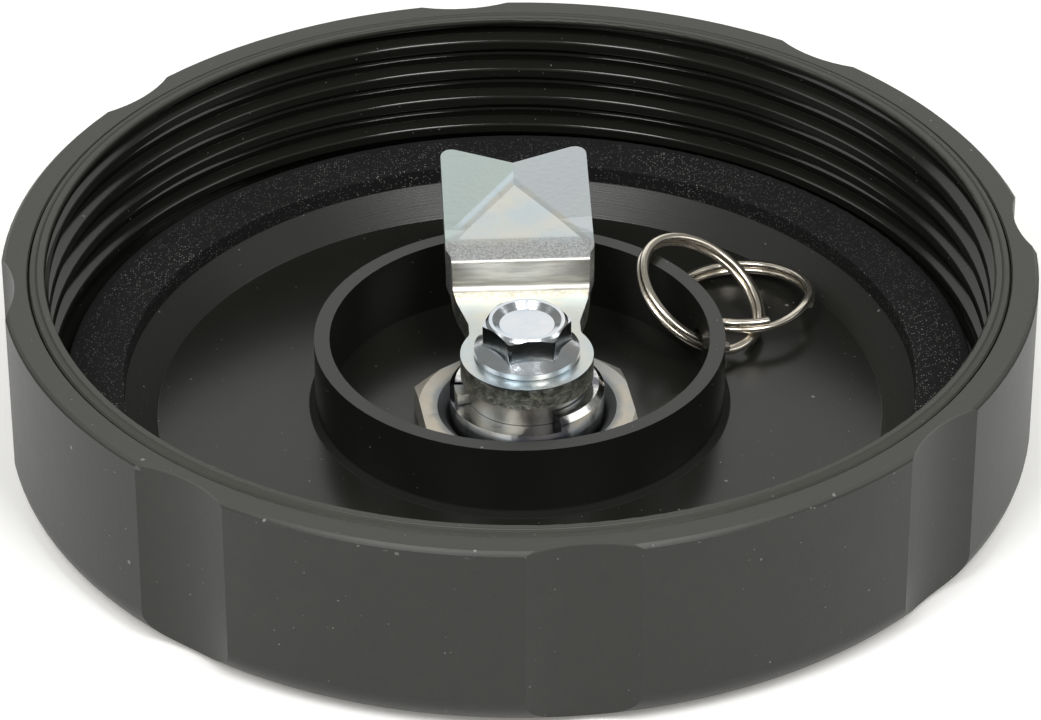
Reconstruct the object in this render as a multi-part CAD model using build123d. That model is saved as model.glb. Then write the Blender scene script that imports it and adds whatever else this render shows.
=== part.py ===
from build123d import *
import math
import os

os.makedirs("parts", exist_ok=True)

# Millimetres. Z = 0 is the outer face of the cap, which lies on the ground; the open side looks up.

# Body
body_r = 66.0
body_h = 26.3
rim_z = 26.0
foot_round = 4.0
rim_chamfer = 0.5
flute_count = 8
flute_first_deg = 6.6
flute_cutter_r = 17.5
flute_depth = 1.8

# Mouth lip behind a narrow groove, and internal thread
rim_w = 5.6
lip_r = body_r - rim_w
lip_h = 1.0
lip_round = 0.3
rim_groove_in = 3.55
rim_groove_r = body_r - rim_groove_in
rim_groove_w = 0.5
rim_groove_depth = 0.5
wall_t = 3.7
thread_root_r = body_r - wall_t
thread_depth = 2.3
thread_crest_r = thread_root_r - thread_depth
thread_pitch = 4.42
thread_crest_w = 1.3
thread_crest_round = 0.3
thread_knee = 1.7
thread_knee_r = thread_crest_r + thread_knee
thread_flank = 0.9
thread_foot = 0.95
thread_under = 0.95
thread_top_edge_z = 22.95
thread_start_z = 7.6
thread_bite = 0.4
thread_end_gap = 0.05
lead_in = 2.2
lead_in_step = 0.95

# Gasket, its seat, cone and floor
gasket_gap = 1.4
gasket_r = thread_crest_r - gasket_gap
gasket_t = 2.5
gasket_play = 0.1
gasket_round = 0.35
seat_z = 6.4
seat_w = 7.6
seat_in_r = gasket_r - seat_w
cone_w = 4.0
cone_in_r = seat_in_r - cone_w
cone_z = 3.1
floor_z = 3.9
dish_in = 9.0
dish_r = cone_in_r - dish_in
dish_depth = 1.7

# Collar
collar_gap = 0.91154
collar_wall = 2.0
collar_top_z = 13.7
hole_deg = 17.0
hole_z = 7.6
hole_d = 4.2
collar_foot = 0.6

# Lock barrel and nut
lock_off = 8.0
lock_deg = -83.4
barrel_r = 9.9
neck_r = 10.75
neck_af = 20.0
neck_play = 0.06
head_r = 13.0
head_z = 0.1
head_t = 1.1
seal_in_r = 10.95
seal_r = 12.7
nut_af = 27.0
nut_top_z = 8.2
nut_turn_deg = 159.0
nut_bevel_d = 27.8
nut_sink_d = 23.0
nut_play = 0.03
recess_z = 10.0
stop_top_z = 11.7
stop_in_r = 7.75
stop_from_deg = -64.0
stop_to_deg = 180.0
barrel_chamfer = 0.7

# Plug
plug_r = 6.5
plug_play = 0.03
plug_flange_r = 7.4
plug_flange_t = 0.9
plug_face_z = 0.15
plug_top_z = 10.05
flange_play = 0.08
key_w = 2.0
key_h = 7.5
key_depth = 8.9
stem_af = 8.0
stem_r = 5.1
stem_top_z = 15.9
stem_play = 0.05
o_ring_z = 2.1
o_ring_wire = 1.08
o_groove_w = 1.3
o_groove_r = 5.4

# Wafers
wafer_count = 4
wafer_first_z = 3.75
wafer_step = 1.45
wafer_t = 0.9
wafer_w = 5.0
wafer_r = 6.45
wafer_play = 0.05
window_w = 2.2
window_h = 4.9
window_shift = (0.4, -0.3, 0.1, -0.5)
ear_out = 4.2
ear_from = 1.5
ear_to = 2.7
groove_w = 5.4
groove_r = 7.5
spring_x = 3.4
spring_coil_r = 0.44
spring_wire = 0.2
spring_turns = 6
pocket_r = 0.65
pocket_from = -2.6

# Stop disc, cam and bolt
disc_r = 7.6
lug_r = 9.3
lug_from_deg = 182.0
lug_to_deg = 198.0
lug_top_z = 11.5
cam_bottom_z = 13.05
cam_t = 3.0
cam_turn_deg = 2.7
cam_round_r = 8.5
cam_neck = (7.15, 7.2)
cam_shoulder = (8.5, 12.5)
cam_base = (9.1, 17.0)
cam_half_w = 9.65
cam_tongue_from = 18.0
cam_len = 38.2
cam_apex = 33.8
joggle_from = 14.3
joggle_face = 15.5
joggle_crest = 16.3
joggle_to = 20.5
joggle_rise = 4.55
joggle_dip = 0.5
joggle_foot_round = 1.2
joggle_top_round = 0.55
joggle_lean = 0.4
joggle_under = 3.0
joggle_under_cut = (0.4, 0.35)
joggle_under_round = 4.2
wing_rise = 3.6
wing_corner_r = 2.2
neck_round = 1.6
facet_t = 2.0
facet_side_lift = 0.35
facet_low = (0.7, 0.1)
facet_foot_out = 0.1
right_fold = 7.0
right_edge = 5.8
right_tip = (2.6, 0.6)
right_inner = (2.35, 3.5)
right_foot = 1.9
left_fold = 4.7
left_edge = 3.9
left_tip = (2.0, 0.5)
left_inner = (1.55, 1.1)
left_foot = 1.55
bolt_flange_r = 6.75
bolt_flange_edge = (0.2, 0.3)
bolt_rim_t = 1.0
bolt_cone_t = 1.0
bolt_cone_out = 0.2
bolt_dish_r = 4.4
bolt_dish_depth = 0.7
bolt_dish_slope = 0.9
bolt_round = 0.6
bolt_bevel = 1.1
bolt_edge = (0.25, 0.35)
bolt_top_in = 0.15
bolt_af = 10.0
bolt_turn_deg = 7.0
bolt_top_z = 21.2
bolt_shank_r = 3.0
bolt_play = 0.03
bolt_end_z = 10.3

# Split rings
wire_w = 1.25
wire_h = 0.9
ring_line_r = 8.975
layer_gap = 0.04
ring_one_from_hole = (-0.54777, 8.42452, 2.299)
ring_one_normal = (0.497, -0.2147, 0.8407)
ring_one_end_deg = 248.0
ring_one_gap_deg = 17.0
ring_two_from_one = (5.778, 5.33, -3.872)
ring_two_normal = (-0.037, 0.1125, 0.993)
ring_two_end_deg = 119.5
ring_two_gap_deg = 27.5

# Worked out from the sizes above
lock_x = lock_off * math.cos(math.radians(lock_deg))
lock_y = lock_off * math.sin(math.radians(lock_deg))
cam_top_z = cam_bottom_z + cam_t
nut_r = nut_af / math.sqrt(3)
collar_r = lock_off + nut_r + collar_gap + collar_wall
hole_r = collar_r - collar_wall / 2
hole_at = (hole_r * math.cos(math.radians(hole_deg)), hole_r * math.sin(math.radians(hole_deg)), hole_z)
ring_one_at = [at + step for at, step in zip(hole_at, ring_one_from_hole)]
ring_two_at = [at + step for at, step in zip(ring_one_at, ring_two_from_one)]
big = 200.0


def turned(points):
    return revolve(Plane.XZ * make_face(Polyline(*points, close=True)), Axis.Z)


def common(first, second):
    return Part() + (first & second).solids()


def rod(radius, z_from, z_to):
    return Pos(0, 0, z_from) * extrude(Circle(radius), amount=z_to - z_from)


def block(x_from, x_to, y_from, y_to, z_from, z_to):
    centre = Pos((x_from + x_to) / 2, (y_from + y_to) / 2, (z_from + z_to) / 2)
    return centre * Box(x_to - x_from, y_to - y_from, z_to - z_from)


def hexagon(across_flats, z_from, z_to):
    side = RegularPolygon(across_flats / math.sqrt(3), 6)
    return Pos(0, 0, z_from) * extrude(side, amount=z_to - z_from)


def sector(r_from, r_to, deg_from, deg_to, z_from, z_to):
    # Part of a tube between two angles
    span = deg_to - deg_from
    face = Plane.XZ * Pos((r_from + r_to) / 2, (z_from + z_to) / 2) * Rectangle(r_to - r_from, z_to - z_from)
    return Rot(0, 0, deg_from) * revolve(face, Axis.Z, revolution_arc=span)


def to_lock(solid, turn_deg=0.0):
    return Pos(lock_x, lock_y, 0) * Rot(0, 0, turn_deg) * solid


# Cap body: skirt, rim, ledge, seat, cone, floor and collar in one moulding
outline = [
    (0, dish_depth),
    (dish_r, dish_depth),
    (dish_r + dish_depth, 0),
    (body_r, 0),
    (body_r, rim_z),
    (rim_groove_r + rim_groove_w / 2, rim_z),
    (rim_groove_r, rim_z - rim_groove_depth),
    (rim_groove_r - rim_groove_w / 2, body_h - lip_round / 2),
    (rim_groove_r - rim_groove_w / 2 - lip_round, body_h),
    (lip_r, body_h),
    (lip_r, body_h - lip_h),
    (thread_root_r, body_h - lip_h - thread_under),
    (thread_root_r, seat_z),
    (seat_in_r, seat_z),
    (cone_in_r, cone_z),
    (collar_r + collar_foot, floor_z),
    (collar_r, floor_z + collar_foot),
    (collar_r, collar_top_z),
    (collar_r - collar_wall, collar_top_z),
    (collar_r - collar_wall, floor_z),
    (0, floor_z),
]


def ring_edges(solid, radius, z_from, z_to):
    circles = solid.edges().filter_by(GeomType.CIRCLE)
    return circles.filter_by(lambda e: abs(e.radius - radius) < 0.01 and z_from < e.center().Z < z_to)


body = turned(outline)
body = fillet(ring_edges(body, body_r, -1, 0.01), foot_round)
body = chamfer(ring_edges(body, body_r, rim_z - 0.01, rim_z + 0.01), rim_chamfer)
body = fillet(ring_edges(body, lip_r, body_h - lip_h - 0.01, body_h + 0.01), lip_round)

cutter_at = body_r - flute_depth + flute_cutter_r
for i in range(flute_count):
    turn = Rot(0, 0, flute_first_deg + i * 360 / flute_count)
    body -= turn * Pos(cutter_at, 0, -1) * extrude(Circle(flute_cutter_r), amount=body_h + 2)

# Internal right-hand thread: one helical ridge that rises with the counter-clockwise angle up to the lip
half_crest = thread_crest_w / 2
start_edge_z = thread_start_z + half_crest
start_deg = 90 + (start_edge_z - thread_top_edge_z) / thread_pitch * 360
ridge_top_z = body_h - lip_h - thread_under - thread_end_gap
ridge_h = ridge_top_z + 1.5 - thread_start_z
path = Helix(pitch=thread_pitch, height=ridge_h, radius=thread_root_r)
base_r = thread_root_r + thread_bite
foot_slope = thread_foot / (base_r - thread_knee_r)
section = Polyline(
    (thread_crest_r, half_crest),
    (thread_knee_r, half_crest + thread_flank),
    (base_r, half_crest + thread_flank + foot_slope * (base_r - thread_knee_r)),
    (base_r, -half_crest - thread_under),
    (thread_crest_r, -half_crest),
    close=True,
)
profile = make_face(section)
profile = fillet(profile.vertices().filter_by(lambda v: v.X < thread_crest_r + 0.01), thread_crest_round)
ridge = sweep(Plane.XZ * profile, path=path, is_frenet=True)
ridge = Pos(0, 0, thread_start_z) * Rot(0, 0, start_deg) * ridge
ridge -= turned([
    (0, ridge_top_z - lead_in - 1),
    (lip_r - lead_in - lead_in_step, ridge_top_z - lead_in - 1),
    (lip_r + thread_end_gap, ridge_top_z),
    (thread_root_r + 2, ridge_top_z),
    (thread_root_r + 2, ridge_top_z + 5),
    (0, ridge_top_z + 5),
])
body += ridge

# Hole of the lock with two flats, and the ring hole through the collar
neck_cut = rod(neck_r + neck_play, -1, floor_z + 1)
neck_cut_w = neck_af / 2 + neck_play
neck_cut = common(neck_cut, block(-big, big, -neck_cut_w, neck_cut_w, -2, floor_z + 2))
body -= to_lock(neck_cut)
across = Rot(0, 0, hole_deg) * Pos(hole_r, 0, hole_z) * Rot(0, 90, 0)
body -= across * Cylinder(hole_d / 2, collar_wall * 3)

# Gasket
gasket = rod(gasket_r, seat_z, seat_z + gasket_t) - rod(seat_in_r + gasket_play, 0, body_h)
gasket = fillet(gasket.edges().filter_by(lambda e: e.center().Z > seat_z + gasket_t / 2), gasket_round)

# Lock barrel: head, neck with flats, threaded barrel, stop segment and bore with wafer grooves
barrel = rod(head_r, head_z, head_z + head_t)
barrel = chamfer(barrel.edges().filter_by(lambda e: e.center().Z < head_z + 0.01), 0.3)
seal_z = head_z + head_t
neck = rod(neck_r, seal_z - 0.1, floor_z - 0.2)
neck = common(neck, block(-big, big, -neck_af / 2, neck_af / 2, 0, floor_z))
barrel += neck
barrel += turned([
    (0, seal_z),
    (barrel_r, seal_z),
    (barrel_r, stop_top_z - barrel_chamfer),
    (barrel_r - barrel_chamfer, stop_top_z),
    (0, stop_top_z),
])
barrel -= rod(stop_in_r, recess_z, stop_top_z + 1)
barrel -= sector(0.5, barrel_r + 1, stop_to_deg, stop_from_deg + 360, recess_z, stop_top_z + 1)
barrel -= rod(plug_r + plug_play, -1, recess_z + 1)
barrel -= rod(plug_flange_r + flange_play, -1, plug_face_z + plug_flange_t + 0.05)
groove_low = wafer_first_z - wafer_t
groove = block(-groove_w / 2, groove_w / 2, -big, big, groove_low, recess_z + 0.5)
groove += block(-big, big, -groove_w / 2, groove_w / 2, groove_low, recess_z + 0.5)
groove = common(groove, rod(groove_r, groove_low - 1, recess_z + 0.4))
barrel -= groove
lock_housing = to_lock(barrel)

housing_seal = to_lock(rod(seal_r, seal_z, dish_depth) - rod(seal_in_r, 0, floor_z))

# Nut with bevelled corners and a countersunk mouth
nut = hexagon(nut_af, floor_z, nut_top_z)
bevel = (nut_af * 2 / math.sqrt(3) - nut_bevel_d) / 2 * math.tan(math.radians(30))
nut = common(nut, turned([
    (0, floor_z),
    (nut_r + 1, floor_z),
    (nut_r + 1, nut_top_z - bevel - math.tan(math.radians(30))),
    (nut_bevel_d / 2, nut_top_z),
    (0, nut_top_z),
]))
nut -= rod(barrel_r + nut_play, 0, body_h)
sink = nut_sink_d / 2 - barrel_r
nut -= turned([
    (0, nut_top_z - sink),
    (barrel_r, nut_top_z - sink),
    (nut_sink_d / 2 + 0.5, nut_top_z + 0.5),
    (0, nut_top_z + 0.5),
])
lock_nut = to_lock(nut, nut_turn_deg)

# Plug with key slot, wafer slots, spring pockets and square stem
plug = rod(plug_r, plug_face_z, plug_top_z)
plug += rod(plug_flange_r, plug_face_z, plug_face_z + plug_flange_t)
stem = rod(stem_r, plug_top_z - 0.1, stem_top_z)
stem = common(stem, block(-stem_af / 2, stem_af / 2, -stem_af / 2, stem_af / 2, 0, body_h))
plug += stem
plug -= rod(bolt_shank_r + bolt_play, bolt_end_z - 0.6, body_h)
plug -= block(-key_w / 2, key_w / 2, -key_h / 2, key_h / 2, -1, key_depth)
plug -= rod(plug_r + 1, o_ring_z - o_groove_w / 2, o_ring_z + o_groove_w / 2) - rod(o_groove_r, 0, body_h)
slot = block(
    -wafer_w / 2 - wafer_play,
    wafer_w / 2 + wafer_play,
    -big,
    big,
    -wafer_t / 2 - wafer_play,
    wafer_t / 2 + wafer_play,
)
slot += block(
    wafer_w / 2 - 0.2,
    ear_out + wafer_play * 2,
    ear_from - wafer_play * 2,
    big,
    -wafer_t / 2 - wafer_play,
    wafer_t / 2 + wafer_play,
)
pocket = extrude(Circle(pocket_r), amount=ear_from - pocket_from)
pocket = Pos(spring_x, pocket_from, 0) * Rot(-90, 0, 0) * pocket
slot += pocket

wafer_plate = rod(wafer_r, -wafer_t / 2, wafer_t / 2)
wafer_plate = common(wafer_plate, block(-wafer_w / 2, wafer_w / 2, -big, big, -1, 1))
wafer_plate += block(wafer_w / 2 - 0.3, ear_out, ear_from, ear_to, -wafer_t / 2, wafer_t / 2)

spring_len = ear_from - pocket_from
spring_rise = spring_len - spring_wire
coil_path = Helix(pitch=spring_rise / spring_turns, height=spring_rise, radius=spring_coil_r)
coil = sweep(
    Plane(origin=coil_path @ 0, z_dir=coil_path % 0) * Circle(spring_wire / 2), path=coil_path, is_frenet=True
)
coil = Pos(spring_x, pocket_from + spring_wire / 2, 0) * Rot(-90, 0, 0) * coil

wafers = []
springs = []
for i in range(wafer_count):
    place = Pos(0, 0, wafer_first_z + i * wafer_step) * Rot(0, 0, 180 * (i % 2))
    plug -= place * slot
    shift = window_shift[i]
    window = block(-window_w / 2, window_w / 2, shift - window_h / 2, shift + window_h / 2, -1, 1)
    wafers.append(to_lock(place * (wafer_plate - window)))
    springs.append(to_lock(place * coil))
lock_plug = to_lock(plug)
o_ring = Pos(0, 0, o_ring_z) * Torus(o_groove_r + o_ring_wire / 2 + 0.01, o_ring_wire / 2)
plug_o_ring = to_lock(o_ring)

# Stop disc with its lug
disc = rod(disc_r, plug_top_z, cam_bottom_z)
disc += sector(disc_r - 1, lug_r, lug_from_deg, lug_to_deg, plug_top_z, lug_top_z)
hub = rod(stem_r + stem_play, 0, body_h)
half_hub = stem_af / 2 + stem_play
hub = common(hub, block(-half_hub, half_hub, -half_hub, half_hub, 0, body_h))
disc -= hub
stop_disc = to_lock(disc)

# Cam, drawn pointing along +Y from the lock axis: plan outline, side profile and two raised wings
plan = Circle(cam_round_r)
blade = [
    (cam_neck[0], 0),
    cam_neck,
    cam_shoulder,
    cam_base,
    (cam_half_w, cam_tongue_from),
    (cam_half_w, cam_len),
]
blade += [(-x, y) for x, y in reversed(blade)]
plan += make_face(Polyline(*blade, close=True))
plan = fillet(plan.vertices().filter_by(lambda v: 3 < v.Y < cam_shoulder[1] + 1), neck_round)
plate = extrude(plan, amount=body_h)

raised_z = cam_top_z + joggle_rise
shoulder_z = raised_z - joggle_dip
under_z = cam_bottom_z + joggle_rise
foot_z = cam_top_z + joggle_foot_round
bend_y = joggle_crest - joggle_lean
bend_z = shoulder_z - joggle_top_round
heel_y = joggle_face + joggle_under
heel_z = under_z - joggle_under_cut[1]
side_face = make_face([
    Line((-cam_round_r - 1, cam_top_z), (joggle_from, cam_top_z)),
    RadiusArc((joggle_from, cam_top_z), (joggle_face, foot_z), -joggle_foot_round),
    Line((joggle_face, foot_z), (bend_y, bend_z)),
    RadiusArc((bend_y, bend_z), (joggle_crest, shoulder_z), joggle_top_round),
    Line((joggle_crest, shoulder_z), (joggle_to, raised_z)),
    Line((joggle_to, raised_z), (cam_len + 1, raised_z)),
    Line((cam_len + 1, raised_z), (cam_len + 1, under_z)),
    Line((cam_len + 1, under_z), (heel_y + joggle_under_cut[0], under_z)),
    Line((heel_y + joggle_under_cut[0], under_z), (heel_y, heel_z)),
    RadiusArc((heel_y, heel_z), (joggle_from, cam_bottom_z), joggle_under_round),
    Line((joggle_from, cam_bottom_z), (-cam_round_r - 1, cam_bottom_z)),
    Line((-cam_round_r - 1, cam_bottom_z), (-cam_round_r - 1, cam_top_z)),
])
side = Plane.YZ * side_face
side = extrude(side, amount=cam_half_w + 2, both=True)

fold_len = math.hypot(cam_half_w, cam_apex - cam_tongue_from)
out_x = (cam_apex - cam_tongue_from) / fold_len
out_y = cam_half_w / fold_len
reach = (cam_len - cam_tongue_from) * out_y
wing_deg = math.degrees(math.atan(wing_rise / reach))


def wing(sign):
    corner = make_face(Polyline(
        (0, cam_apex),
        (sign * cam_half_w, cam_tongue_from),
        (sign * cam_half_w, cam_len),
        (0, cam_len),
        close=True,
    ))
    far = corner.vertices().filter_by(lambda v: abs(v.X) > cam_half_w - 0.1 and v.Y > cam_len - 0.1)
    corner = fillet(far, wing_corner_r)
    column = extrude(corner, amount=big)
    mid = Plane(
        origin=(sign * cam_half_w, cam_tongue_from, raised_z),
        x_dir=(-sign * out_y, out_x, 0),
        z_dir=(-sign * out_x * math.sin(math.radians(wing_deg)),
               -out_y * math.sin(math.radians(wing_deg)),
               math.cos(math.radians(wing_deg))),
    )
    lean = cam_t * math.cos(math.radians(wing_deg))
    slab = mid * Pos(0, 0, -lean / 2) * Box(big, big, lean)
    return common(column, slab)


def tongue_z(along):
    # Height of the tongue's upper face: a gentle slope, then flat
    fall = (raised_z - shoulder_z) / (joggle_to - joggle_crest)
    return raised_z - fall * max(0.0, joggle_to - along)


def under_triangle(*corners):
    column = extrude(make_face(Polyline(*[(x, y) for x, y, z in corners], close=True)), amount=big)
    first, second, third = [Vector(*corner) for corner in corners]
    up = (second - first).cross(third - first)
    if up.Z < 0:
        up = up * -1
    face = Plane(origin=first, x_dir=second - first, z_dir=up)
    slab = face * Pos(0, 0, -facet_t / 2) * Box(big, big, facet_t)
    return common(column, slab)


def corner_facets(sign, fold_out, edge_out, tip, inner, foot_in):
    # Small faces where the fold runs out into the side edge
    slope = math.tan(math.radians(wing_deg))
    fold_y = cam_tongue_from + fold_out
    fold_x = cam_half_w * (cam_apex - fold_y) / (cam_apex - cam_tongue_from)
    inner_y = cam_tongue_from + inner[1]
    low_y = joggle_crest + facet_low[0]
    foot_y = joggle_crest + facet_foot_out
    fold = (sign * fold_x, fold_y, raised_z)
    edge = (sign * cam_half_w, cam_tongue_from + edge_out, raised_z + edge_out * out_y * slope)
    peak = (sign * cam_half_w, cam_tongue_from + tip[0], raised_z + tip[1])
    middle = (sign * (cam_half_w - inner[0]), inner_y, tongue_z(inner_y))
    foot = (sign * (cam_half_w - foot_in), foot_y, tongue_z(foot_y))
    side = (sign * cam_half_w, cam_tongue_from, tongue_z(cam_tongue_from) + facet_side_lift)
    low = (sign * cam_base[0], low_y, tongue_z(low_y) + facet_low[1])
    piece = under_triangle(fold, edge, peak) + under_triangle(fold, peak, middle)
    piece += under_triangle(middle, peak, side)
    return piece + under_triangle(middle, side, low) + under_triangle(middle, low, foot)


cam = common(plate, side)
fold_cut = make_face(Polyline(
    (0, cam_apex),
    (cam_half_w + 1, cam_tongue_from - (cam_apex - cam_tongue_from) / cam_half_w),
    (cam_half_w + 1, cam_len + 1),
    (-cam_half_w - 1, cam_len + 1),
    (-cam_half_w - 1, cam_tongue_from - (cam_apex - cam_tongue_from) / cam_half_w),
    close=True,
))
cam -= extrude(fold_cut, amount=big)
cam += wing(1)
cam += corner_facets(1, right_fold, right_edge, right_tip, right_inner, right_foot)
cam += wing(-1)
cam += corner_facets(-1, left_fold, left_edge, left_tip, left_inner, left_foot)
cam -= Rot(0, 0, -cam_turn_deg) * hub
cam = to_lock(cam, cam_turn_deg)

# Flange bolt
head = hexagon(bolt_af, cam_top_z, bolt_top_z)
bolt_r = bolt_af / math.sqrt(3)
head = fillet(head.edges().filter_by(Axis.Z), bolt_round)
head = common(head, turned([
    (0, cam_top_z),
    (bolt_r + 1, cam_top_z),
    (bolt_r + 1, bolt_top_z - bolt_bevel),
    (bolt_af / 2 + bolt_edge[0], bolt_top_z - bolt_edge[1]),
    (bolt_af / 2 - bolt_top_in, bolt_top_z),
    (0, bolt_top_z),
]))
head -= turned([
    (0, bolt_top_z - bolt_dish_depth),
    (bolt_dish_r - bolt_dish_slope, bolt_top_z - bolt_dish_depth),
    (bolt_dish_r, bolt_top_z),
    (bolt_dish_r, bolt_top_z + 0.1),
    (0, bolt_top_z + 0.1),
])
head += turned([
    (0, cam_top_z),
    (bolt_flange_r - bolt_flange_edge[0], cam_top_z),
    (bolt_flange_r, cam_top_z + bolt_flange_edge[1]),
    (bolt_flange_r, cam_top_z + bolt_rim_t),
    (bolt_af / 2 + bolt_cone_out, cam_top_z + bolt_rim_t + bolt_cone_t),
    (0, cam_top_z + bolt_rim_t + bolt_cone_t),
])
head += rod(bolt_shank_r, bolt_end_z, cam_top_z)
cam_bolt = to_lock(head, bolt_turn_deg)


# Split rings: one wire that runs round twice, with a short step from the lower to the upper turn
def split_ring(centre, normal, end_deg, gap_deg):
    half = (wire_h + layer_gap) / 2
    points = []
    total = 720.0 - 2 * gap_deg
    steps = 68
    for k in range(steps + 1):
        along = gap_deg + total * k / steps
        part = min(1.0, max(0.0, (along - 360 + gap_deg) / (2 * gap_deg)))
        level = half * (2 * (3 * part ** 2 - 2 * part ** 3) - 1)
        angle = math.radians(along + end_deg)
        points.append((ring_line_r * math.cos(angle), ring_line_r * math.sin(angle), level))
    line = Spline(*points)
    guide = Spline(*[(1.3 * x, 1.3 * y, z) for x, y, z in points])
    start = line @ 0
    section = Plane(origin=start, x_dir=(start.X, start.Y, 0), z_dir=line % 0) * SlotOverall(wire_w, wire_h)
    wire = sweep(section, path=line, binormal=guide)
    return Plane(origin=tuple(centre), x_dir=(-normal[1], normal[0], 0), z_dir=normal) * wire


split_ring_inner = split_ring(ring_one_at, ring_one_normal, ring_one_end_deg, ring_one_gap_deg)
split_ring_outer = split_ring(ring_two_at, ring_two_normal, ring_two_end_deg, ring_two_gap_deg)

nodes = {
    "cap_body": body,
    "gasket": gasket,
    "lock_housing": lock_housing,
    "housing_seal": housing_seal,
    "lock_nut": lock_nut,
    "lock_plug": lock_plug,
    "plug_o_ring": plug_o_ring,
    "stop_disc": stop_disc,
    "cam": cam,
    "cam_bolt": cam_bolt,
    "split_ring_inner": split_ring_inner,
    "split_ring_outer": split_ring_outer,
}
for i in range(wafer_count):
    nodes[f"wafer_{i + 1}"] = wafers[i]
    nodes[f"wafer_spring_{i + 1}"] = springs[i]

for name, solid in nodes.items():
    export_step(solid, f"parts/{name}.step")
    print(name, round(solid.volume, 3), len(solid.solids()), solid.is_valid)
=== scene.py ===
import math

import bmesh
import bpy
from mathutils import Matrix, Vector

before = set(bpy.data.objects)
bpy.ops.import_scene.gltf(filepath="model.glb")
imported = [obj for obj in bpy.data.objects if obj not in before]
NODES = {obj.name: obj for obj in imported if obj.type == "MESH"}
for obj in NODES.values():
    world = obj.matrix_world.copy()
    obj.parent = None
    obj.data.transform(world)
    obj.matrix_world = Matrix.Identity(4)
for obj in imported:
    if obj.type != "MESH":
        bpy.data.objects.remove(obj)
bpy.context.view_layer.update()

MM = 0.001
TO_MM = 1000.0

# Sockets of the Mix node when it blends colours.
MIX_SHARE, MIX_FIRST, MIX_SECOND, MIX_COLOUR = 0, 6, 7, 2

# Where the finishes change on the cap, in millimetres: radii from its axis and heights (_Z) above its
# outer face.
SKIRT_R, OUTER_FACE_Z = 62.7, 2.4
RIM_R, RIM_Z = 60.2, 25.6
FRONT_EDGE_R, FRONT_EDGE_Z, FRONT_EDGE_Y = 65.1, 25.0, -40.0
THREAD_R = 59.0
ROOT_IN_R, ROOT_MID_R, ROOT_OUT_R = 61.3, 61.9, 62.6
CONE_IN_R, CONE_OUT_R = 46.9, 51.1
CONE_FOOT_Z, SEAT_Z = 2.9, 6.6
COLLAR_FOOT_IN_R, COLLAR_FOOT_OUT_R, COLLAR_FOOT_Z = 26.3, 27.4, 4.8
DUSTY_GASKET_R = 58.0

# The lock's axis, and radii and heights on its nut and barrel.
LOCK = (0.919, -7.947)
COUNTERSINK_R, BARREL_R = 13.4, 10.7
# The height below which the barrel is painted with shadow, where it goes into the nut.
THREAD_SHADOW_Z = 9.4

# Distances along the cam from the lock's axis, and heights on it. The cam is turned by CAM_TURN
# sideways for each millimetre along; its folds meet at FOLD_APEX.
CAM_TURN = 0.047
FOOT_FROM, FOOT_TO = 12.9, 14.8
JOGGLE_FROM, JOGGLE_TO = 14.3, 16.5
SLOPE_FROM, SLOPE_TO = 16.0, 21.5
FOLD_APEX, FOLD_SLOPE = 33.8, 0.61
WING_Z = 20.75
# BAND_FROM and BAND_WIDTH place a painted highlight along the left fold.
BAND_FROM, BAND_WIDTH = 22.0, 1.9
ROUND_END_TO, SHEARED_EDGE_Z = 12.0, 15.85

# The paper that the cap lies on, and the room around it, in metres and watts.
PAPER_Z, PAPER_SIZE, PAPER_GLOW = -0.0002, 6.0, 0.2
ROOM_COLOUR, ROOM_LIGHT = (1.0, 1.0, 0.94, 1.0), 0.22
LIT_POINT = (0.0, 0.0, 0.01)
LAMPS = [
    # name, place, width and height, power
    ("back_card", (0.0, 1.7, 1.0), (2.4, 1.4), 8.0),
    ("front_box_left", (-0.38, -0.61, 1.06), (0.34, 0.70), 7.5),
    ("front_box_right", (0.38, -0.61, 1.06), (0.34, 0.70), 7.5),
    ("left_box", (-1.1, -0.1, 0.6), (0.6, 0.8), 2.0),
    ("right_box", (1.1, 0.0, 0.6), (0.6, 0.8), 2.0),
]


class Value:
    """A number or vector socket that takes part in Python arithmetic."""

    def __init__(self, finish, socket):
        self.finish = finish
        self.socket = socket

    def math(self, operation, *others, clamp=False):
        settings = {"operation": operation, "use_clamp": clamp}
        inputs = dict(enumerate((self,) + others))
        return self.finish.node("ShaderNodeMath", settings, inputs)

    def __add__(self, other):
        return self.math("ADD", other)

    __radd__ = __add__

    def __sub__(self, other):
        return self.math("SUBTRACT", other)

    def __rsub__(self, other):
        return self.math("MULTIPLY", -1.0) + other

    def __mul__(self, other):
        return self.math("MULTIPLY", other)

    def __pow__(self, other):
        return self.math("POWER", other)

    def limited(self):
        """Kept between 0 and 1."""
        return self.math("ADD", 0.0, clamp=True)

    def over(self, edge, width):
        """0 below edge, 1 above edge + width, smooth between."""
        settings = {"interpolation_type": "SMOOTHSTEP"}
        inputs = {"Value": self, "From Min": edge, "From Max": edge + width}
        return self.finish.node("ShaderNodeMapRange", settings, inputs)

    def under(self, edge, width):
        """1 below edge - width, 0 above edge, smooth between."""
        return 1.0 - self.over(edge - width, width)

    def between(self, low, high, low_width, high_width):
        """0 below low and above high, 1 between, smooth over the widths inside them."""
        return self.over(low, low_width) * self.under(high, high_width)


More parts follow.
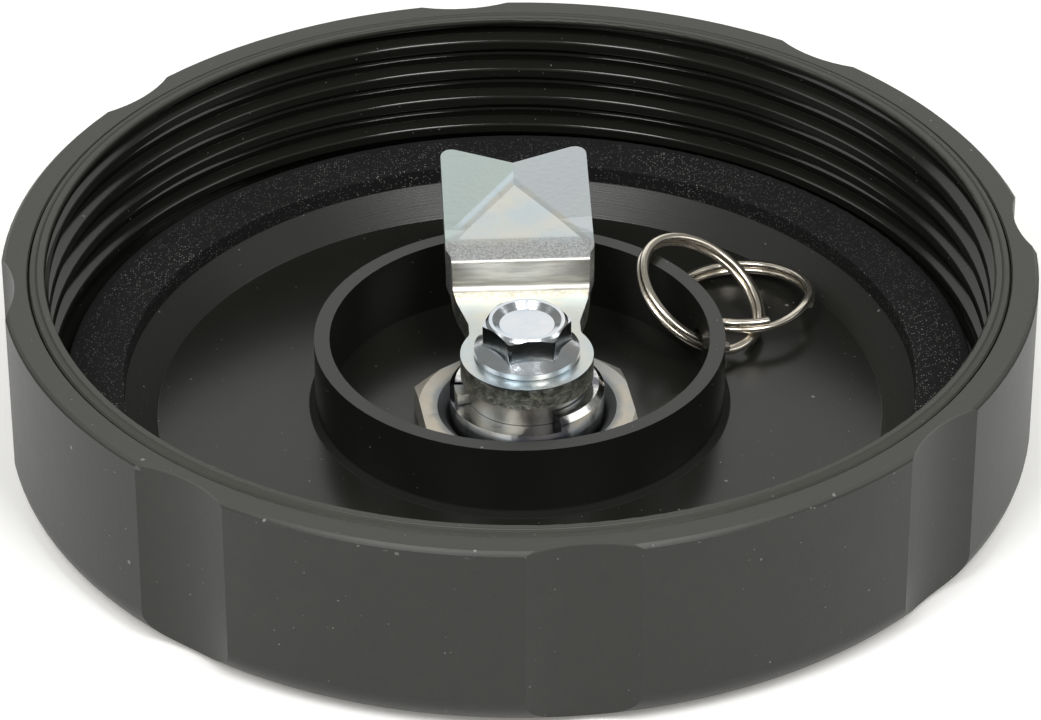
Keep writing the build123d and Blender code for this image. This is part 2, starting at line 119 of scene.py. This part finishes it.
class Finish:
    """One material: a Principled surface and the nodes that vary it."""

    def __init__(self, name, **constants):
        self.material = bpy.data.materials.new(name)
        self.material.use_nodes = True
        self.tree = self.material.node_tree
        self.surface = self.tree.nodes["Principled BSDF"]
        self.set(**constants)
        self.place = self.node("ShaderNodeTexCoord", output="Object")

    def node(self, kind, settings=None, inputs=None, output=0):
        made = self.tree.nodes.new(kind)
        for name, value in (settings or {}).items():
            setattr(made, name, value)
        for name, value in (inputs or {}).items():
            self.feed(made.inputs[name], value)
        return Value(self, made.outputs[output])

    def feed(self, socket, value):
        if isinstance(value, Value):
            self.tree.links.new(value.socket, socket)
        else:
            socket.default_value = value

    def set(self, **values):
        for name, value in values.items():
            self.feed(self.surface.inputs[name.replace("_", " ")], value)

    def axes(self, centre=(0.0, 0.0)):
        """X and Y from an upright axis, and Z, in millimetres."""
        x, y, z = [
            self.node("ShaderNodeSeparateXYZ", inputs={0: self.place}, output=i) * TO_MM for i in range(3)
        ]
        return x - centre[0], y - centre[1], z

    def around(self, centre=(0.0, 0.0)):
        """Distance from an upright axis, in millimetres."""
        x, y, _ = self.axes(centre)
        return (x * x + y * y) ** 0.5

    def noise(self, scale, detail=3.0, roughness=0.5, stretch=None):
        where = self.place
        if stretch:
            where = self.node("ShaderNodeMapping", inputs={"Vector": where, "Scale": stretch})
        inputs = {"Vector": where, "Scale": scale, "Detail": detail, "Roughness": roughness}
        return self.node("ShaderNodeTexNoise", inputs=inputs)

    def specks(self, scale, share, size):
        """Small separate spots: 1 inside a spot; share is how many cells hold one."""
        inputs = {"Vector": self.place, "Scale": scale}
        far = self.node("ShaderNodeTexVoronoi", inputs=inputs, output="Distance")
        cell = self.node("ShaderNodeTexVoronoi", inputs=inputs, output="Color")
        chance = self.node("ShaderNodeSeparateColor", inputs={0: cell}, output=0)
        ragged = self.noise(scale * 3.0, 2.0) - 0.5
        spot = (far + ragged * 0.3).under(size, size * 0.4)
        return spot * chance.over(1.0 - share, 0.01)

    def mix(self, share, first, second):
        """A blend of two colours; share is how much there is of the second."""
        inputs = {MIX_SHARE: share, MIX_FIRST: first, MIX_SECOND: second}
        return self.node("ShaderNodeMix", {"data_type": "RGBA"}, inputs, output=MIX_COLOUR)

    def bump(self, height, distance, strength=1.0):
        """Height is 0 to 1; distance is how deep that is, in millimetres."""
        inputs = {"Height": height, "Distance": distance * MM, "Strength": strength}
        self.set(Normal=self.node("ShaderNodeBump", inputs=inputs))


def rgb(red, green, blue):
    return (red, green, blue, 1.0)


def grey(level, warm=0.0):
    return rgb(level * (1 + warm), level, level * (1 - warm))


def black(level):
    """Black plastic: faintly olive."""
    return rgb(level, level * 1.03, level * 0.84)


def moulded_plastic():
    """Cap: satin skirt and rim, glossy inside, turned cone, pale dust and nicks, painted shade at the
    collar's foot.
    """
    f = Finish("moulded_plastic", Roughness=0.4, Specular_IOR_Level=0.5)
    _, y, z = f.axes()
    r = f.around()

    skirt = (r.over(SKIRT_R, 0.1) + z.under(OUTER_FACE_Z, 0.4)).limited()
    top = (r.over(RIM_R, 0.2) * z.over(RIM_Z, 0.2)).limited()
    outside = (skirt + top).limited()
    thread = r.over(THREAD_R, 0.2) * (1.0 - outside)
    root = r.between(ROOT_IN_R, ROOT_OUT_R, 0.1, 0.05) * z.over(SEAT_Z, 0.1)
    cone = r.between(CONE_IN_R, CONE_OUT_R, 0.2, 0.2) * z.between(CONE_FOOT_Z, SEAT_Z, 0.1, 0.1)
    shaded_collar_foot = r.between(COLLAR_FOOT_IN_R, COLLAR_FOOT_OUT_R, 0.1, 0.2) * z.under(COLLAR_FOOT_Z, 0.2)
    front_edge = r.over(FRONT_EDGE_R, 0.2) * z.over(FRONT_EDGE_Z, 0.3) * y.under(FRONT_EDGE_Y, 20.0)

    fine = f.noise(420.0, 4.0, 0.6)
    grain = f.noise(2200.0, 3.0, 0.7)
    cloud = f.noise(60.0, 4.0, 0.6)
    dust = f.specks(420.0, 0.05, 0.10) + f.specks(900.0, 0.05, 0.12) + f.specks(1700.0, 0.03, 0.16)
    nicks = (f.specks(330.0, 0.30, 0.20) + f.specks(800.0, 0.25, 0.20)).limited() * front_edge
    pale = (dust.limited() * (0.25 + cloud * 0.4) + nicks * 0.6).limited()

    inside_tone = f.mix(cloud, black(0.010), black(0.014))
    outside_tone = f.mix(fine * 0.4 + grain * 0.3 + cloud * 0.3, black(0.004), black(0.026))
    tone = f.mix(outside, inside_tone, outside_tone)
    tone = f.mix(top, tone, black(0.042))
    tone = f.mix(cone, tone, black(0.011))
    tone = f.mix(pale, tone, grey(0.35, 0.02))
    # painted shade: the collar's foot, where it meets the floor, is painted darker than the floor around
    # it; it is also made rough so it shows no highlight
    tone = f.mix(shaded_collar_foot, tone, black(0.004))
    rough = 0.22 - thread * 0.11 + outside * 0.20 + cone * 0.12 + pale * 0.3 + fine * 0.05
    f.set(Base_Color=tone, Roughness=rough + shaded_collar_foot * 0.75)

    rings = f.node("ShaderNodeCombineXYZ", inputs={0: r * 2.4})
    turned = f.node("ShaderNodeTexNoise", inputs={"Vector": rings, "Scale": 3.0, "Detail": 4.0})
    moulding = fine * 0.4 + grain * 0.6 + cloud * 0.4
    from_mid = r - ROOT_MID_R
    hollow = from_mid * from_mid * root
    f.bump(turned * cone * 0.03 + moulding * outside * 0.05 + hollow * 0.9, 1.0)
    return f.material


def rubber(name, level, dusty):
    f = Finish(name, Roughness=0.85, Specular_IOR_Level=0.25)
    fine = f.noise(300.0, 4.0, 0.6)
    tone = f.mix(fine, grey(level), grey(level * 2.0))
    if dusty:
        cloud = f.noise(60.0, 4.0, 0.6).over(0.4, 0.3)
        dust = (f.specks(1500.0, 0.30, 0.14) + f.specks(3200.0, 0.60, 0.30) * 0.7).limited()
        dust = dust * (cloud * 0.6 + 0.4) * f.around().under(DUSTY_GASKET_R, 0.8)
        tone = f.mix((dust * 0.8).limited(), tone, grey(0.4, 0.04))
    f.set(Base_Color=tone)
    f.bump(fine, 0.05)
    return f.material


def zinc_tone(f, cool, warm, stained):
    """Cloudy blue and yellow tints with a few dark stains; gives the tone and the stains."""
    cloud = f.noise(140.0, 4.0, 0.6)
    tint = f.mix(cloud.over(0.35, 0.3), cool, warm)
    stain = f.noise(420.0, 5.0, 0.65).over(0.56, 0.14) * f.noise(90.0, 2.0, 0.5).over(0.45, 0.2)
    return f.mix(stain * stained, tint, rgb(0.12, 0.11, 0.09)), stain


def zinc(name, cool, warm, rough, stained):
    f = Finish(name, Metallic=1.0)
    tone, stain = zinc_tone(f, cool, warm, stained)
    fine = f.noise(1400.0, 3.0, 0.6)
    f.set(Base_Color=tone, Roughness=rough + stain * 0.2 + fine * 0.12)
    f.bump(fine * 0.6 + f.noise(260.0, 3.0, 0.5), 0.02)
    return f.material


def nut_zinc():
    """Nut: matt beige top, with a painted dark bluish reflection in the countersink and painted shadow in
    the gap at the thread.
    """
    silver, beige = rgb(0.60, 0.61, 0.59), rgb(0.72, 0.66, 0.56)
    countersink_reflection_blue, thread_gap_shadow = rgb(0.22, 0.26, 0.30), rgb(0.03, 0.03, 0.03)
    f = Finish("nut_zinc", Metallic=1.0)
    tone, stain = zinc_tone(f, silver, beige, 0.3)
    r = f.around(LOCK)
    cloud = f.noise(330.0, 4.0, 0.6)
    # painted reflection: the countersink is painted dark bluish, for the dark surroundings it mirrors
    countersink_dark_reflection = (r + cloud * 1.6).under(COUNTERSINK_R, 1.2)
    tone = f.mix(countersink_dark_reflection * 0.7, tone, countersink_reflection_blue)
    # painted shadow: the gap between the nut's bore and the barrel is painted near black
    tone = f.mix(r.under(BARREL_R, 0.6) * 0.85, tone, thread_gap_shadow)
    f.set(Base_Color=tone, Roughness=0.38 + cloud * 0.2 + stain * 0.1)
    f.bump(cloud, 0.03)
    return f.material


def barrel_chrome():
    """Barrel: bright plating under a dark film, with painted shadow at its foot where it goes into the
    nut's thread.
    """
    bright, dark, thread_gap_shadow = rgb(0.80, 0.80, 0.79), rgb(0.16, 0.16, 0.18), rgb(0.05, 0.05, 0.05)
    f = Finish("barrel_chrome", Metallic=1.0)
    _, _, z = f.axes()
    film = f.noise(170.0, 4.0, 0.55, stretch=(1.0, 1.0, 0.5)).over(0.50, 0.12)
    tone = f.mix(film, bright, dark)
    # painted shadow: the barrel is painted near black below that height, where it goes into the nut
    tone = f.mix(z.under(THREAD_SHADOW_Z, 0.8) * 0.8, tone, thread_gap_shadow)
    fine = f.noise(700.0, 4.0, 0.6)
    f.set(Base_Color=tone, Roughness=0.07 + fine * 0.14)
    f.bump(f.noise(240.0, 3.0, 0.5), 0.05)
    return f.material


def cam_plate():
    """Cam: bluish neck and wings, with the wings painted lighter and darker by how they face the light and
    a painted highlight on the left fold; worn speckled slope, streaked joggle, painted glint at the foot,
    dark sheared edge.
    """
    neck_blue, neck_yellow = rgb(0.62, 0.69, 0.71), rgb(0.72, 0.72, 0.66)
    right_wing_lit_blue, left_wing_dim_green, fold_highlight_blue = rgb(0.78, 0.84, 0.88), rgb(0.62, 0.72, 0.69), rgb(0.80, 0.92, 0.98)
    worn_dark, worn_pale = rgb(0.40, 0.40, 0.40), rgb(0.72, 0.73, 0.73)
    rolled_dark, rolled_pale = rgb(0.55, 0.53, 0.48), rgb(0.95, 0.92, 0.84)
    foot_glint_dark, foot_glint_pale = rgb(0.70, 0.66, 0.55), rgb(1.0, 0.98, 0.88)
    edge_dark, edge_pale = rgb(0.24, 0.25, 0.21), rgb(0.66, 0.68, 0.61)
    f = Finish("cam_plate", Metallic=1.0)

    x, y, z = f.axes(LOCK)
    across, along = x + y * CAM_TURN, y - x * CAM_TURN
    fold = (FOLD_APEX - along) * FOLD_SLOPE
    past_right_fold, past_left_fold = across - fold, across * -1.0 - fold
    wings = z.over(WING_Z, 0.2)
    right_side = across.over(-0.1, 0.2)
    right_wing = past_right_fold.over(0.0, 0.2) * wings * right_side
    left_wing = past_left_fold.over(0.0, 0.2) * wings * (1.0 - right_side)
    fold_highlight = left_wing * past_left_fold.under(BAND_WIDTH, 0.3) * along.over(BAND_FROM, 2.0)
    slope = along.between(SLOPE_FROM, SLOPE_TO, 0.3, 3.0) * (1.0 - (left_wing + right_wing).limited())
    joggle = along.between(JOGGLE_FROM, JOGGLE_TO, 0.5, 0.5)
    glinting_foot = along.between(FOOT_FROM, FOOT_TO, 0.5, 0.4)
    edge = z.under(SHEARED_EDGE_Z, 0.15) * along.under(ROUND_END_TO, 1.0)

    fine = f.noise(1400.0, 3.0, 0.6)
    grain = f.noise(3200.0, 3.0, 0.7)
    streak = f.noise(300.0, 4.0, 0.6, stretch=(0.25, 3.0, 3.0))
    sparkle = f.noise(1500.0, 3.0, 0.7).over(0.35, 0.3)
    mottle = f.noise(900.0, 4.0, 0.65).over(0.35, 0.3)

    tone, stain = zinc_tone(f, neck_blue, neck_yellow, 0.1)
    # painted light: the wings get a lighter bluish copy (right) and a darker greenish copy (left) of the
    # metal, for the way each faces the light
    tone = f.mix(right_wing * 0.8, tone, right_wing_lit_blue)
    tone = f.mix(left_wing * 0.9, tone, left_wing_dim_green)
    # painted highlight: a lighter blue band along the left fold
    tone = f.mix(fold_highlight * 0.9, tone, fold_highlight_blue)
    tone = f.mix(slope * 0.85, tone, f.mix(grain.over(0.36, 0.28), worn_dark, worn_pale))
    tone = f.mix(joggle * 0.9, tone, f.mix(streak.over(0.35, 0.3), rolled_dark, rolled_pale))
    # painted highlight: the foot of the bend is painted near white in sparkling spots, for the glint it
    # catches
    tone = f.mix(glinting_foot * 0.8, tone, f.mix(sparkle, foot_glint_dark, foot_glint_pale))
    tone = f.mix(edge * 0.9, tone, f.mix(mottle, edge_dark, edge_pale))
    rough = 0.27 + stain * 0.2 + fine * 0.1 + slope * 0.14 + edge * 0.08 + joggle * 0.08
    f.set(Base_Color=tone, Roughness=rough)
    relief = fine * 0.5 + grain * slope * 0.8 + streak * joggle * 0.8 + sparkle * glinting_foot + mottle * edge * 2.0
    f.bump(relief, 0.03)
    return f.material


def plated(name, tone, rough):
    f = Finish(name, Metallic=1.0)
    haze = f.noise(380.0, 4.0, 0.6)
    hazy = rgb(*[part * 0.86 for part in tone[:3]])
    f.set(Base_Color=f.mix(haze, tone, hazy), Roughness=rough + haze * 0.10)
    return f.material


FINISHES = {
    "cap_body": moulded_plastic(),
    "gasket": rubber("gasket_rubber", 0.006, True),
    "seal": rubber("seal_rubber", 0.012, False),
    "zinc": zinc("zinc_plate", rgb(0.34, 0.36, 0.37), rgb(0.42, 0.40, 0.34), 0.36, 0.5),
    "cam": cam_plate(),
    "nut": nut_zinc(),
    "bolt": zinc("blue_zinc_plate", rgb(0.72, 0.78, 0.84), rgb(0.84, 0.84, 0.86), 0.12, 0.0),
    "barrel": barrel_chrome(),
    "chrome": plated("bright_chrome", rgb(0.58, 0.57, 0.55), 0.10),
    "nickel": plated("nickel_wire", rgb(0.95, 0.88, 0.76), 0.18),
    "brass": plated("stamped_brass", rgb(0.70, 0.52, 0.24), 0.3),
    "spring": plated("spring_wire", rgb(0.5, 0.5, 0.5), 0.3),
}
WEARS = {
    "cap_body": "cap_body", "gasket": "gasket", "lock_housing": "barrel", "housing_seal": "seal",
    "lock_nut": "nut", "lock_plug": "chrome", "plug_o_ring": "seal", "stop_disc": "zinc", "cam": "cam",
    "cam_bolt": "bolt", "split_ring_inner": "nickel", "split_ring_outer": "nickel",
}
for i in range(1, 5):
    WEARS[f"wafer_{i}"] = "brass"
    WEARS[f"wafer_spring_{i}"] = "spring"

for node, finish in WEARS.items():
    worn_by = NODES[node].data.materials
    worn_by.clear()
    worn_by.append(FINISHES[finish])


def paper_floor():
    bm = bmesh.new()
    bmesh.ops.create_grid(bm, x_segments=1, y_segments=1, size=PAPER_SIZE)
    mesh = bpy.data.meshes.new("paper_floor")
    bm.to_mesh(mesh)
    bm.free()
    floor = bpy.data.objects.new("paper_floor", mesh)
    bpy.context.scene.collection.objects.link(floor)
    floor.location.z = PAPER_Z
    paper = Finish("pale_paper", Base_Color=grey(0.9), Roughness=0.9, Specular_IOR_Level=0.1,
                   Emission_Color=rgb(1.0, 0.97, 0.91), Emission_Strength=PAPER_GLOW)
    floor.data.materials.append(paper.material)


def lamp(name, place, size, watts):
    data = bpy.data.lights.new(name, "AREA")
    data.shape = "RECTANGLE"
    data.size, data.size_y = size
    data.energy = watts
    made = bpy.data.objects.new(name, data)
    bpy.context.scene.collection.objects.link(made)
    direction = Vector(LIT_POINT) - Vector(place)
    turn = direction.to_track_quat("-Z", "Y").to_matrix().to_4x4()
    made.matrix_world = Matrix.Translation(place) @ turn


def room():
    world = bpy.data.worlds.new("white_room")
    bpy.context.scene.world = world
    world.use_nodes = True
    background = world.node_tree.nodes["Background"]
    background.inputs["Color"].default_value = ROOM_COLOUR
    background.inputs["Strength"].default_value = ROOM_LIGHT
    bpy.context.scene.view_settings.view_transform = "Standard"


def camera():
    """The camera stands 657 mm from the centre of the rim and looks down at it."""
    rim_z = 26.0
    back, up = 557.1, 348.4
    focal_px, frame_px, frame_px_h = 5155.1, 1041.0, 720.0
    centre_px = (519.61, 253.92)
    roll = math.radians(-0.113)
    data = bpy.data.cameras.new("camera")
    data.sensor_width = 36.0
    data.lens = focal_px / frame_px * data.sensor_width
    made = bpy.data.objects.new("camera", data)
    bpy.context.scene.collection.objects.link(made)
    down = math.atan2(up, back) + math.atan((frame_px_h / 2 - centre_px[1]) / focal_px)
    yaw = math.atan((centre_px[0] - frame_px / 2) / focal_px)
    made.matrix_world = (
        Matrix.Translation(Vector((0.0, -back, up + rim_z)) * MM)
        @ Matrix.Rotation(yaw, 4, "Z")
        @ Matrix.Rotation(math.pi / 2 - down, 4, "X")
        @ Matrix.Rotation(roll, 4, "Z")
    )
    bpy.context.scene.camera = made


paper_floor()
for settings in LAMPS:
    lamp(*settings)
room()
camera()
